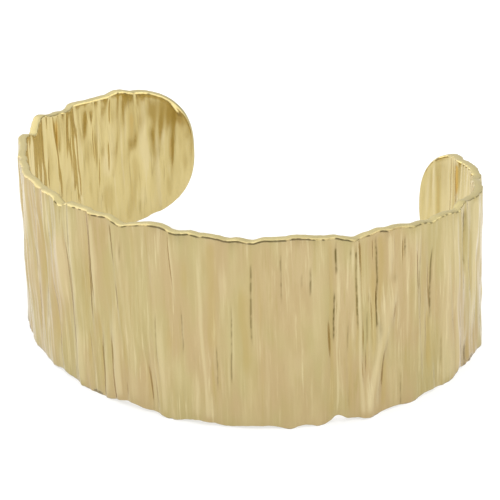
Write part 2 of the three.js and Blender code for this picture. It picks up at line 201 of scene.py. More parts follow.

# Facets, the smooth panes between folds: foot, head, low, high and half as in a fold. The last column is how
# pale the pane looks in the photograph, from -1 to 1, and lower for orange depths. It is painted light, the
# pane's reflections, highlight and shade, painted at part strength. It also sets the pane's relief.
Facet = namedtuple("Facet", "foot head low high half tone")
OUTER_RELIEF = 0.24
INNER_RELIEF = 0.3
INNER_FLATNESS = 0.9  # share of their relief that the inner panes lose at the right
INNER_FLAT_FROM = 54.0  # from here to the right the inner panes flatten out
INNER_FLAT_BY = 62.0
OUTER_FACETS = [Facet(*row) for row in [
    (-23.6, -23.6, 0.25, 0.6, 0.5, -0.4),
    (-22.6, -21.4, 0.2, 0.95, 0.5, 0.6),
    (-20.8, -20.6, 0.62, 1.0, 0.7, 0.5),
    (-18.9, -18.6, 0.66, 0.88, 0.5, -0.5),
    (-20.3, -20.0, 0.18, 0.38, 0.9, -0.7),
    (-20.4, -17.3, 0.35, 1.0, 0.3, 0.7),
    (-18.4, -18.6, 0.0, 0.35, 0.5, 0.6),
    (-17.3, -16.6, 0.35, 0.92, 0.8, -0.6),
    (-17.2, -17.2, 0.0, 0.3, 0.4, -0.5),
    (-16.6, -15.0, 0.0, 1.0, 0.25, 0.7),
    (-14.9, -14.8, 0.6, 0.88, 0.4, -0.6),
    (-14.1, -14.0, 0.7, 1.0, 0.4, 0.6),
    (-13.9, -13.5, 0.1, 0.5, 0.7, -0.9),
    (-13.3, -13.3, 0.52, 0.9, 0.12, -0.4),
    (-12.9, -12.8, 0.0, 0.18, 0.6, 0.4),
    (-12.4, -12.4, 0.05, 0.35, 0.15, -0.4),
    (-11.5, -11.5, 0.38, 0.9, 1.2, 0.6),
    (-10.4, -10.5, 0.7, 0.95, 0.3, -0.5),
    (-11.3, -11.3, 0.0, 0.36, 0.08, 0.7),
    (-10.9, -10.8, 0.0, 0.4, 0.3, -0.7),
    (-10.2, -10.2, 0.0, 0.42, 0.1, 0.7),
    (-9.5, -9.3, 0.05, 0.36, 0.2, -0.8),
    (-8.9, -9.0, 0.4, 0.97, 0.35, 0.5),
    (-8.4, -8.4, 0.0, 0.38, 0.5, 0.6),
    (-7.7, -7.7, 0.1, 0.6, 0.15, 0.4),
    (-7.2, -7.2, 0.3, 0.9, 0.12, -0.4),
    (-6.9, -6.5, 0.1, 0.4, 0.25, -0.8),
    (-6.3, -6.1, 0.5, 0.95, 0.5, -0.9),
    (-5.9, -5.9, 0.0, 0.25, 0.3, 0.4),
    (-5.3, -4.9, 0.4, 0.97, 0.25, 0.7),
    (-5.9, -5.4, 0.3, 0.55, 0.12, 0.5),
    (-4.7, -4.7, 0.0, 0.52, 0.35, -0.8),
    (-3.9, -3.9, 0.0, 0.55, 0.3, 0.5),
    (-3.3, -3.3, 0.0, 0.45, 0.25, -0.6),
    (-3.3, -3.3, 0.58, 0.97, 0.7, -0.25),
    (-1.9, -2.6, 0.03, 0.62, 0.5, 0.5),
    (-1.3, -1.3, 0.0, 0.3, 0.12, -0.5),
    (-1.5, -0.8, 0.68, 0.95, 0.3, 0.5),
    (-0.6, -0.4, 0.0, 0.45, 0.35, -0.8),
    (0.6, 1.0, 0.02, 0.42, 0.75, 0.4),
    (2.9, 2.2, 0.0, 0.38, 0.5, -0.45),
    (2.7, 2.8, 0.66, 0.97, 0.2, 0.4),
    (3.6, 3.8, 0.4, 0.95, 0.4, -0.3),
    (4.9, 4.6, 0.0, 0.52, 0.35, 0.5),
    (3.9, 3.8, 0.0, 0.3, 0.3, 0.35),
    (5.9, 5.9, 0.28, 0.56, 0.75, -0.9),
    (6.3, 6.1, 0.0, 0.3, 0.4, -0.6),
    (7.9, 6.5, 0.6, 0.97, 0.25, 0.6),
    (8.3, 8.3, 0.64, 0.93, 0.55, -0.8),
    (9.4, 9.0, 0.0, 0.3, 0.35, 0.6),
    (10.6, 10.0, 0.0, 0.93, 0.2, 0.6),
    (11.0, 11.0, 0.0, 0.2, 0.5, 0.5),
    (11.2, 11.7, 0.33, 1.0, 0.7, -1.0),
    (11.3, 11.6, 0.05, 0.38, 0.25, -0.8),
    (13.0, 12.8, 0.5, 0.9, 0.3, 0.4),
    (13.9, 13.2, 0.65, 0.9, 0.25, 0.5),
    (14.9, 15.0, 0.3, 0.55, 0.22, 0.7),
    (15.4, 15.3, 0.25, 0.8, 0.7, -0.9),
    (16.9, 17.0, 0.1, 0.9, 0.12, 0.5),
    (17.4, 17.4, 0.0, 0.8, 0.14, -0.4),
    (12.4, 12.4, 0.6, 0.92, 0.12, -0.5),
    (12.6, 12.3, 0.1, 0.42, 0.16, 0.5),
    (13.4, 13.6, 0.1, 0.4, 0.14, 0.5),
    (8.7, 8.6, 0.2, 0.55, 0.4, -0.3),
    (7.2, 7.3, 0.1, 0.4, 0.3, 0.3),
    (2.1, 2.2, 0.5, 0.9, 0.3, 0.3),
    (1.3, 1.2, 0.5, 0.97, 0.4, -0.3),
    (3.2, 3.1, 0.0, 0.4, 0.25, 0.5),
    (18.0, 18.2, 0.0, 0.95, 0.25, 0.4),
    (22.1, 22.4, 0.36, 0.8, 1.6, -0.6),
    (20.0, 20.3, 0.0, 0.25, 0.8, -0.3),
    (21.4, 21.4, 0.0, 0.24, 1.6, -0.4),
    (23.3, 23.4, 0.0, 0.3, 0.2, 0.5),
    (25.7, 25.9, 0.0, 1.0, 0.3, -0.7),
    (26.9, 27.0, 0.35, 0.97, 0.35, -0.2),
    (26.4, 26.8, 0.3, 0.9, 0.16, 1.0),
    (26.4, 26.6, 0.0, 0.4, 0.12, 1.0),
    (27.3, 27.3, 0.0, 0.25, 0.1, -0.7),
    (27.6, 27.6, 0.75, 1.0, 0.2, -0.4),
    (28.2, 28.4, 0.8, 1.0, 0.12, 0.6),
    (28.0, 28.1, 0.0, 0.55, 0.45, -0.6),
    (28.8, 28.8, 0.3, 1.0, 0.14, -1.0),
    (29.2, 29.2, 0.2, 1.0, 0.1, 1.0),
    (29.4, 29.2, 0.0, 0.6, 0.22, 0.7),
    (29.7, 29.6, 0.3, 0.97, 0.08, -0.7),
    (30.1, 30.1, 0.55, 0.97, 0.08, 0.7),
    (30.4, 30.5, 0.65, 0.97, 0.06, 0.8),
    (30.2, 30.2, 0.2, 0.55, 0.12, -0.7),
    (31.0, 31.2, 0.33, 0.85, 0.4, -0.8),
    (31.9, 32.2, 0.42, 1.0, 0.35, -0.9),
    (32.6, 32.7, 0.5, 1.0, 0.15, -0.5),
    (30.9, 31.6, 0.25, 0.5, 0.3, -0.8),
    (30.1, 34.0, 0.0, 0.72, 0.34, 0.8),
    (31.6, 31.4, 0.0, 0.3, 0.2, 0.6),
    (32.4, 32.3, 0.0, 0.36, 0.35, -0.9),
    (33.2, 33.2, 0.72, 1.0, 0.2, 0.8),
    (33.4, 33.0, 0.05, 0.45, 0.3, 0.4),
    (34.0, 34.1, 0.82, 1.0, 0.4, -0.8),
    (33.7, 33.7, 0.8, 1.0, 0.08, 0.6),
    (34.9, 34.9, 0.78, 1.0, 0.1, 0.6),
    (35.3, 35.3, 0.76, 1.0, 0.18, -0.7),
    (34.0, 33.9, 0.72, 0.8, 0.4, -0.8),
    (34.6, 33.6, 0.36, 0.6, 0.25, -0.7),
    (35.3, 34.8, 0.42, 0.64, 0.12, -0.5),
    (34.1, 33.9, 0.0, 0.45, 0.1, 0.5),
    (34.8, 34.8, 0.0, 0.28, 0.08, -0.7),
    (35.8, 35.7, 0.3, 0.95, 0.15, 0.5),
    (36.2, 36.2, 0.35, 0.9, 0.08, -0.5),
    (36.6, 36.7, 0.45, 0.97, 0.1, 0.7),
    (37.1, 37.1, 0.3, 0.92, 0.1, -0.6),
    (38.2, 38.1, 0.35, 0.92, 0.2, -0.4),
    (37.5, 37.5, 0.1, 0.97, 0.12, 0.8),
    (38.8, 38.7, 0.55, 0.9, 0.3, -0.6),
    (39.2, 38.8, 0.08, 0.55, 0.4, -0.9),
    (40.1, 40.2, 0.3, 0.95, 0.2, 0.6),
    (41.9, 42.2, 0.02, 1.0, 1.2, 0.8),
    (40.4, 40.4, 0.3, 0.95, 0.25, -0.4),
    (41.2, 41.3, 0.0, 0.35, 0.2, -0.5),
    (46.5, 46.3, 0.6, 0.97, 0.7, -1.0),
    (46.2, 46.2, 0.66, 0.88, 0.3, -1.0),
    (45.0, 44.8, 0.1, 1.0, 0.3, -0.5),
    (44.2, 44.0, 0.0, 0.97, 0.35, 0.8),
    (47.2, 47.2, 0.0, 0.2, 0.8, -0.8),
    (48.8, 49.2, 0.1, 1.0, 0.8, 0.9),
]]
INNER_FACETS = [Facet(*row) for row in [
    (-65.4, -65.2, 0.68, 0.88, 0.4, -1.2),
    (-65.9, -66.2, 0.58, 0.76, 0.4, -0.7),
    (-63.8, -63.8, 0.72, 0.94, 0.5, -0.2),
    (-64.4, -64.4, 0.4, 0.68, 0.5, 0.5),
    (-65.6, -65.6, 0.3, 0.55, 0.35, -0.5),
    (-65.0, -64.6, 0.18, 0.45, 0.4, 0.5),
    (-63.6, -63.6, 0.38, 0.7, 0.3, -1.3),
    (-62.9, -63.3, 0.08, 0.36, 0.35, -0.9),
    (-62.6, -62.3, 0.5, 0.8, 0.4, 0.6),
    (-62.3, -62.2, 0.25, 0.5, 0.12, -0.7),
    (-61.7, -61.5, 0.0, 0.7, 0.25, 0.8),
    (-61.1, -60.9, 0.76, 1.0, 0.4, -0.6),
    (-60.8, -60.8, 0.45, 0.8, 0.35, -1.4),
    (-60.6, -60.3, 0.1, 0.48, 0.5, -0.8),
    (-59.9, -59.8, 0.3, 0.97, 0.3, 0.9),
    (-59.0, -59.0, 0.05, 0.3, 0.8, 0.6),
    (-58.9, -59.0, 0.88, 0.98, 0.25, -0.9),
    (-59.4, -59.3, 0.45, 0.85, 0.25, 0.5),
    (-58.0, -58.0, 0.55, 0.93, 0.6, -1.25),
    (-58.1, -58.3, 0.25, 0.56, 0.6, -1.0),
    (-57.4, -57.7, 0.04, 0.38, 0.45, -1.0),
    (-56.8, -56.8, 0.0, 0.2, 0.4, -1.1),
    (-57.0, -57.0, 0.6, 0.97, 0.2, 0.6),
    (-56.4, -56.6, 0.72, 0.97, 0.2, -1.0),
    (-55.7, -55.9, 0.3, 0.8, 0.35, -0.5),
    (-56.4, -56.2, 0.22, 0.78, 0.15, 0.8),
    (-55.1, -55.0, 0.78, 1.0, 0.4, -1.1),
    (-54.9, -54.9, 0.1, 0.45, 0.12, 0.7),
    (-54.0, -54.1, 0.45, 0.75, 0.35, -0.5),
    (-53.7, -53.9, 0.1, 0.4, 1.0, -1.2),
    (-53.6, -53.6, 0.38, 0.66, 1.0, 0.8),
    (-53.5, -53.5, 0.86, 1.0, 0.5, -0.9),
    (-52.6, -52.5, 0.6, 0.9, 0.35, 0.6),
    (-52.4, -52.4, 0.12, 0.36, 0.35, 0.7),
    (-51.4, -51.2, 0.84, 0.98, 0.55, -1.5),
    (-51.8, -51.8, 0.5, 0.84, 0.35, -1.2),
    (-51.7, -51.6, 0.15, 0.42, 0.2, -0.7),
    (-51.0, -51.0, 0.3, 0.5, 0.25, 0.6),
    (-50.6, -50.6, 0.28, 0.48, 0.3, -0.9),
    (-50.4, -50.4, 0.5, 0.78, 0.4, -0.8),
    (-50.0, -50.1, 0.74, 0.97, 0.4, -0.9),
    (-49.5, -48.2, 0.25, 0.97, 0.25, 0.9),
    (-48.9, -47.4, 0.45, 0.96, 0.12, -0.5),
    (-48.3, -48.3, 0.32, 0.6, 0.35, -0.7),
    (-47.3, -47.4, 0.42, 0.75, 0.8, 0.9),
    (-46.9, -46.8, 0.75, 0.98, 0.45, -0.8),
    (-46.0, -46.1, 0.35, 0.6, 0.3, -0.5),
    (-45.4, -45.3, 0.45, 0.9, 0.4, 0.6),
    (-44.4, -44.3, 0.7, 0.97, 0.55, -1.5),
    (-44.6, -44.5, 0.35, 0.68, 0.3, -0.5),
    (-43.6, -43.5, 0.5, 0.78, 0.35, 0.6),
    (-42.3, -42.2, 0.5, 0.9, 0.55, -0.9),
    (-41.0, -41.0, 0.6, 0.95, 0.5, -0.5),
    (-40.0, -40.0, 0.55, 0.9, 0.4, 0.8),
    (61.2, 61.2, 0.6, 0.97, 0.5, 0.5),
    (62.6, 62.6, 0.5, 0.96, 0.15, -0.7),
    (63.2, 63.2, 0.4, 1.0, 0.35, 0.8),
    (64.9, 64.8, 0.72, 0.97, 0.75, -2.4),
    (65.8, 65.8, 0.5, 1.0, 0.2, 0.9),
    (66.5, 66.4, 0.5, 1.0, 0.4, -1.4),
    (67.1, 67.1, 0.5, 1.0, 0.18, 1.0),
    (67.7, 67.6, 0.72, 0.95, 0.3, -1.5),
    (68.8, 68.8, 0.3, 0.97, 0.65, 1.0),
    (70.1, 70.0, 0.4, 0.92, 0.35, -1.4),
    (70.9, 70.8, 0.3, 0.95, 0.25, 0.9),
    (71.6, 71.5, 0.45, 0.92, 0.3, -1.0),
    (72.4, 72.3, 0.4, 0.8, 0.3, 0.6),
]]

# Facets with no chart of their own, scattered with a fixed seed over the stretches between start and stop.
Scatter = namedtuple("Scatter", "seed start stop count")
OUTER_SCATTER = [Scatter(3, -68.0, -23.0, 44), Scatter(8, 48.0, 75.0, 24)]
INNER_SCATTER = [Scatter(4, -39.0, 60.5, 90)]

# Crumples: panes that tilt at random and meet in soft edges. pitch and tall are a pane's length and height,
# drop how much it bulges, tilt the steepest slope, edge how soft the meeting is, sign -1 where the panes are
# hollow.
Crumple = namedtuple("Crumple", "seed pitch tall drop tilt edge sign")
CRUMPLES = [
    Crumple(11, 4.6, 13.0, 0.18, 0.06, 0.03, 1.0),
    Crumple(5, 2.1, 9.0, 0.12, 0.08, 0.015, -1.0),
    Crumple(23, 1.1, 6.0, 0.03, 0.04, 0.005, 1.0),
]
CRUMPLE_PAINTED_LIGHT = 2.2  # painted light per mm of a crumple's height: raised panes paler, sunk ones deeper

# The fine folds keep this share of their height at a rim, and begin to fade this far from it.
RIM_CALM = 0.03
RIM_FADE = 0.1
RIM_MATT_BY = 0.25  # the rims are matt from this share of the way in from either face

# Bumps of the two rims, most of them rounded from how far the photographed outline departs from the fit.
Bump = namedtuple("Bump", "at half rise")
UPPER_RIM = [Bump(*row) for row in [
    (-56.5, 1.5, 0.4), (-47.3, 1.4, -0.3), (-41.7, 1.4, 0.6), (-38.0, 1.3, -0.9), (-16.8, 1.2, -0.3),
    (-11.1, 1.0, -0.7), (-0.5, 1.3, -0.5), (4.2, 1.8, 0.6), (9.4, 1.2, 0.25), (13.7, 1.0, -0.3),
    (16.5, 1.0, -0.4), (22.2, 2.6, 0.4), (29.2, 1.2, -0.25), (33.8, 2.4, 0.3), (39.7, 1.0, -0.3),
    (44.4, 1.0, -0.25), (46.6, 1.0, 0.3), (58.0, 2.0, -0.4),
]]
LOWER_RIM = [Bump(*row) for row in [
    (-48.0, 1.6, -0.4), (-27.0, 2.0, -0.5), (-13.0, 1.6, 0.4), (-5.9, 1.8, -0.5), (-0.6, 2.0, 0.5),
    (5.7, 1.2, -0.4), (9.4, 1.2, 0.2), (13.2, 1.4, -0.25), (20.5, 1.2, -0.45), (24.3, 1.2, -0.4),
    (26.6, 0.9, 0.6), (31.0, 1.2, -0.4), (36.1, 1.1, -0.4), (39.0, 1.4, 0.2), (42.2, 1.0, -0.25),
    (45.0, 0.9, 0.8), (48.4, 1.2, -0.35), (56.0, 1.8, -0.4),
]]

# Shade painted in dark lines along the creases: half is the line's half width, rise its darkness.
CREASE_SHADE_LINES = [Fold(*row) for row in [
    (16.2, 16.4, 0.45, 0.9, 0.11, 0.7),
    (19.7, 20.1, 0.68, 0.95, 0.09, 0.6),
    (23.7, 23.3, 0.7, 0.86, 0.11, 0.7),
    (22.6, 22.4, 0.74, 0.83, 0.09, 0.4),
    (26.35, 26.6, 0.8, 0.99, 0.11, 1.0),
    (26.1, 26.3, 0.42, 0.72, 0.11, 1.0),
    (28.9, 28.85, 0.5, 0.98, 0.11, 0.9),
    (30.4, 30.6, 0.64, 0.71, 0.09, 0.6),
    (30.1, 30.3, 0.4, 0.6, 0.09, 0.5),
    (31.3, 31.9, 0.46, 0.78, 0.11, 1.0),
    (32.4, 31.5, 0.74, 0.99, 0.11, 0.9),
    (35.4, 35.5, 0.84, 0.97, 0.11, 0.8),
    (39.6, 39.7, 0.42, 0.86, 0.11, 0.8),
    (39.1, 39.3, 0.38, 0.46, 0.09, 0.5),
    (37.5, 37.7, 0.5, 0.85, 0.09, 0.35),
    (49.2, 45.35, 0.64, 0.9, 0.2, 0.75),
    (46.4, 46.3, 0.58, 0.97, 0.5, 0.4),
    (46.8, 46.8, 0.0, 0.14, 0.6, 0.45),
    (13.6, 14.2, 0.22, 0.68, 0.09, 0.6),
    (11.9, 12.2, 0.18, 0.44, 0.09, 0.5),
    (7.6, 7.7, 0.35, 0.62, 0.09, 0.5),
    (4.2, 4.3, 0.25, 0.55, 0.09, 0.4),
    (20.1, 20.1, 0.31, 0.36, 0.09, 0.5),
    (28.1, 28.15, 0.88, 0.98, 0.09, 0.6),
    (33.9, 33.9, 0.7, 0.78, 0.35, 0.3),
    (27.7, 27.9, 0.35, 0.55, 0.09, 0.4),
    (34.7, 34.7, 0.0, 0.2, 0.09, 0.4),
    (41.2, 41.2, 0.1, 0.3, 0.1, 0.3),
    (-9.4, -9.3, 0.04, 0.32, 0.09, 0.5),
    (-9.8, -9.4, 0.75, 0.98, 0.09, 0.4),
    (-5.8, -5.2, 0.6, 0.96, 0.09, 0.5),
    (-11.0, -11.0, 0.9, 0.99, 0.12, 0.5),
    (-0.8, -0.6, 0.8, 0.92, 0.09, 0.35),
]]

# Shade is painted in a dark line under the upper rim's outer edge, the lip's shadow, between these places
# along the band, this dark.
RIM_SHADE_START = -8.0
RIM_SHADE_STOP = 45.0
RIM_SHADE_DARK = 0.5
RIM_SHADE_FADE = 4.0  # mm over which it fades at each end
RIM_SHADE_ABOVE = 0.5  # only the rim's cells past this place across the band are on the upper rim
RIM_SHADE_DEPTHS = (0.4, 0.5)  # it lies between these depths from mid-sheet, as shares of the sheet

# A glint, a painted highlight, lies this far to the right of each painted crease shade, mm, and this is the
# painted light added there.
PAINTED_GLINT_ASIDE = 0.17
PAINTED_GLINT_LIGHT = 0.6
LINE_SOFT = 0.05  # how softly a painted crease shade and its glint end, as a share of the band's height


# ---------------------------------------------------------------- the shape of the sheet
def outer_point(turn):
    share = 1.0
    for wave in OVAL:
        share = share + wave.cosine * np.cos(wave.times * turn) + wave.sine * np.sin(wave.times * turn)
    return MEAN_RADIUS * share * np.sin(turn), -MEAN_RADIUS * share * np.cos(turn)


def outward(turn):
    tiny = 1e-4
    ax, ay = outer_point(turn - tiny)
    bx, by = outer_point(turn + tiny)
    length = np.hypot(bx - ax, by - ay)
    return (by - ay) / length, -(bx - ax) / length


def middle_point(turn):
    x, y = outer_point(turn)
    nx, ny = outward(turn)
    return x - nx * SHEET / 2, y - ny * SHEET / 2


plan_turns = np.linspace(LEFT_TURN, RIGHT_TURN, PLAN_STEPS + 1)
plan_x, plan_y = middle_point(plan_turns)
plan_along = np.concatenate([[0.0], np.cumsum(np.hypot(np.diff(plan_x), np.diff(plan_y)))])
plan_along -= np.interp(0.0, plan_turns, plan_along)
LEFT_TIP, RIGHT_TIP = plan_along[0], plan_along[-1]
HALF_LENGTH = (RIGHT_TIP - LEFT_TIP) / 2
MIDDLE = (RIGHT_TIP + LEFT_TIP) / 2


def smooth(value, low, high):
    t = np.clip((value - low) / (high - low), 0.0, 1.0)
    return t * t * (3 - 2 * t)


def shows(share, low, high, soft=0.12):
    """1 between low and high, with soft ends. A limit at a rim has no end there."""
    rising = 1.0 if low <= 0 else smooth(share, low, low + soft)
    falling = 1.0 if high >= 1 else 1.0 - smooth(share, high - soft, high)
    return rising * falling


def soft_profile(distance, half):
    return np.exp(-(distance / half) ** 2)


def sharp_profile(distance, half):
    return np.exp(-np.sqrt((distance / half) ** 2 + 0.02))


def wander(along, share):
    """How far charted lines stray sideways as they run across the band, mm."""
    height = share * BAND_HEIGHT
    return sum(
        stray.reach * np.sin(2 * math.pi * height / stray.length + stray.turn * along + stray.start)
        for stray in STRAYS
    )


def add_folds(push, along, share, folds, profile, soft=0.12):
    for fold in folds:
        line = fold.foot + (fold.head - fold.foot) * share
        near = np.abs(along - line) < 5 * fold.half
        height = fold.rise * profile((along - line)[near], fold.half)
        push[near] += height * np.broadcast_to(shows(share, fold.low, fold.high, soft), share.shape)[near]


def crumple_height(along, share, crumple):
    """Panes on a jittered grid, joined by a soft maximum."""
    random = np.random.default_rng(crumple.seed)
    height = share * BAND_HEIGHT
    total = np.zeros_like(along)
    columns = int((RIGHT_TIP - LEFT_TIP) / crumple.pitch) + 2
    rows = int(BAND_HEIGHT / crumple.tall) + 2
    for column in range(columns):
        for row in range(rows):
            centre = LEFT_TIP + (column + random.uniform(-0.4, 0.4)) * crumple.pitch
            level = (row - 0.25 + random.uniform(-0.4, 0.4)) * crumple.tall
            lift, slope, climb = random.uniform(-1.0, 1.0, 3)
            near = np.abs(along - centre) < 3 * crumple.pitch
            across, up = along[near] - centre, height[near] - level
            away = (across / crumple.pitch) ** 2 + (up / crumple.tall) ** 2
            pane = lift * crumple.drop * 0.3 + slope * crumple.tilt * across
            pane = pane + climb * crumple.tilt * 0.25 * up
            total[near] += np.exp((pane - crumple.drop * away) / crumple.edge)
    return crumple.sign * crumple.edge * np.log(total + 1e-9)


def add_facets(push, tone, along, share, facets, relief):
    for facet in facets:
        line = facet.foot + (facet.head - facet.foot) * share
        near = np.abs(along - line) < 3 * facet.half
        ends = np.broadcast_to(shows(share, facet.low - 0.03, facet.high + 0.03, 0.16), share.shape)[near]
        pane = ends * np.exp(-np.abs((along - line)[near] / (facet.half * (0.4 + 0.6 * ends))) ** 2.6)
        push[near] += facet.tone * facet.half * relief[near] * pane
        # The pane's charted highlight or shade is painted into its colour.
        tone[near] += facet.tone * pane


def scattered_facets(scatters):
    facets = []
    for scatter in scatters:
        random = np.random.default_rng(scatter.seed)
        for _ in range(scatter.count):
            foot = random.uniform(scatter.start, scatter.stop)
            length = random.uniform(0.25, 0.9)
            low = random.uniform(-0.2, 1.0 - length * 0.7)
            tone = random.uniform(0.5, 1.0) * random.choice([-1.0, 1.0])
            half = random.uniform(0.25, 0.8)
            facets.append(Facet(foot, foot + random.normal(0.0, 0.6), low, low + length, half, tone))
    return facets


outer_facets = OUTER_FACETS + scattered_facets(OUTER_SCATTER)
inner_facets = INNER_FACETS + scattered_facets(INNER_SCATTER)


def fold_height(along, share, rim, inside):
    """How far the folds push the sheet outwards, mm, and the painted light and shade. rim is small at a rim.
    """
    push = np.zeros_like(along)
    tone = np.zeros_like(along)
    strayed = along + wander(along, share)
    add_folds(push, along, share, FOLDS, soft_profile, soft=FOLD_SOFT)
    # The wide folds are painted paler on their crests and deeper in their hollows.
    tone += np.clip(push, -FOLD_PAINTED_LIGHT_MOST, FOLD_PAINTED_LIGHT_MOST)
    for ripple in RIPPLES:
        sway = ripple.sway * np.sin(math.pi * share * ripple.fade + ripple.start * along)
        phase = 2 * math.pi * share * ripple.fade + along / ripple.length + ripple.start
        strength = 0.65 + 0.35 * np.sin(phase)
        push += ripple.height * strength * np.sin(2 * math.pi * (along + sway) / ripple.length + ripple.start)
    fine = np.zeros_like(along)
    add_folds(fine, strayed, share, SHARP_FOLDS, sharp_profile)
    fine *= SHARPNESS
    if inside:
        flat = INNER_FLATNESS * smooth(along, INNER_FLAT_FROM, INNER_FLAT_BY)
        relief = INNER_RELIEF * (1 - flat)
        add_facets(fine, tone, strayed, share, inner_facets, -relief)
    else:
        add_facets(fine, tone, strayed, share, outer_facets, np.full_like(along, OUTER_RELIEF))
        # Painted highlights: a glint beside each painted crease shade.
        painted_glint = np.zeros_like(along)
        add_folds(painted_glint, strayed - PAINTED_GLINT_ASIDE, share, CREASE_SHADE_LINES, soft_profile, soft=LINE_SOFT)
        tone = np.maximum(tone, -1.0) + PAINTED_GLINT_LIGHT * painted_glint
    for crumple in CRUMPLES:
        height = crumple_height(along, share, crumple)
        fine += height
        # Crumples are painted paler where raised and deeper where sunk.
        tone += CRUMPLE_PAINTED_LIGHT * height
    return push + fine * rim, tone * rim


def painted_crease_shade(along, share):
    """How much shade is painted into the creases, from 0 to 1."""
    painted_shade = np.zeros_like(along)
    add_folds(painted_shade, along + wander(along, share), share, CREASE_SHADE_LINES, soft_profile, soft=LINE_SOFT)
    return np.clip(painted_shade, 0.0, 1.0)


def rim_shift(along, bumps):
    return sum(bump.rise * soft_profile(along - bump.at, bump.half) for bump in bumps)


def band_points(along, across, edge, depth, inset):
    """Places on the band, mm. across is -1 at the lower rim, 1 at the upper. depth is outwards from mid-sheet.

    edge is 1 on the band's border. The fine folds die away towards it, so that the rim stays smooth.
    """
    half = BAND_HEIGHT / 2 * (1 - TAPER * ((along - MIDDLE) / HALF_LENGTH) ** 2) - inset
    centre = BAND_HEIGHT / 2 + LEFT_RISE * np.minimum(along / HALF_LENGTH, 0) ** 2
    top = centre + half + rim_shift(along, UPPER_RIM)
    bottom = centre - half + rim_shift(along, LOWER_RIM)
    share = (across + 1) / 2
    side = 1.0 if depth > 0 else -1.0
    rim = RIM_CALM + (1 - RIM_CALM) * (1 - smooth(edge, 1 - RIM_FADE, 1.0))
    push, tone = fold_height(along, share, rim, depth <= 0)
    push = push * (1.0 if depth > 0 else INSIDE_SHARE) + depth
    turn = np.interp(along, plan_along, plan_turns)
    x, y = middle_point(turn)
    nx, ny = outward(turn)
    points = np.stack([x + nx * push, y + ny * push, bottom + (top - bottom) * share], axis=-1)
    chart = np.stack([along, top * share, np.full_like(along, side)], axis=-1)
    # Shade painted on the outer face in dark lines along the creases.
    painted_shade = painted_crease_shade(along, share) if depth > 0 else np.zeros_like(along)
    # Painted shadow under the upper rim's lip.
    if SHEET * RIM_SHADE_DEPTHS[0] < depth < SHEET * RIM_SHADE_DEPTHS[1]:
        begun = smooth(along, RIM_SHADE_START, RIM_SHADE_START + RIM_SHADE_FADE)
        rim_shade = begun * (1 - smooth(along, RIM_SHADE_STOP - RIM_SHADE_FADE, RIM_SHADE_STOP))
        painted_shade = np.maximum(painted_shade, RIM_SHADE_DARK * rim_shade * (across > RIM_SHADE_ABOVE))
    matt = np.full_like(along, smooth(1 - abs(2 * depth / SHEET), 0.0, RIM_MATT_BY))
    return points, chart, painted_shade, tone, matt


def grid_places(columns, rows, inset):
    """Where the grid's cells are along and across the band. A square is mapped onto each rounded end."""
    q = 2 * rows / STEPS_ACROSS - 1
    start, stop = LEFT_TIP + END_ROUND, RIGHT_TIP - END_ROUND
    from_left = np.maximum(STEPS_END - columns, 0) / STEPS_END
    from_right = np.maximum(columns - STEPS_END - STEPS_MIDDLE, 0) / STEPS_END
    p = np.maximum(from_left, from_right)
    reach = p * (1 - np.abs(q) ** END_POWER / 2) ** (1 / END_POWER) * (END_ROUND - inset)
    across = q * (1 - p ** END_POWER / 2) ** (1 / END_POWER)
    share = np.clip((columns - STEPS_END) / STEPS_MIDDLE, 0, 1)
    along = start + (stop - start) * share + np.where(from_left > 0, -reach, reach)
    return along, across, np.maximum(np.abs(q), p)


def lean_and_set_down(points):
    """Leans the band back onto its resting places and flattens what would dip below the ground."""
    lean = Matrix.Rotation(-LEAN_LEFT, 3, "Y") @ Matrix.Rotation(-LEAN_BACK, 3, "X")
    placed = points @ np.array(lean).T + np.array(SET_DOWN)
    placed[:, 2] = np.maximum(placed[:, 2], 0.0)
    return placed


def border_cells(columns, rows):
    """The grid's border, anticlockwise as the outer face is seen from outside."""
    return np.array(
        [(c, 0) for c in range(columns)]
        + [(columns, r) for r in range(rows)]
        + [(c, rows) for c in range(columns, 0, -1)]
        + [(0, r) for r in range(rows, 0, -1)]
    )


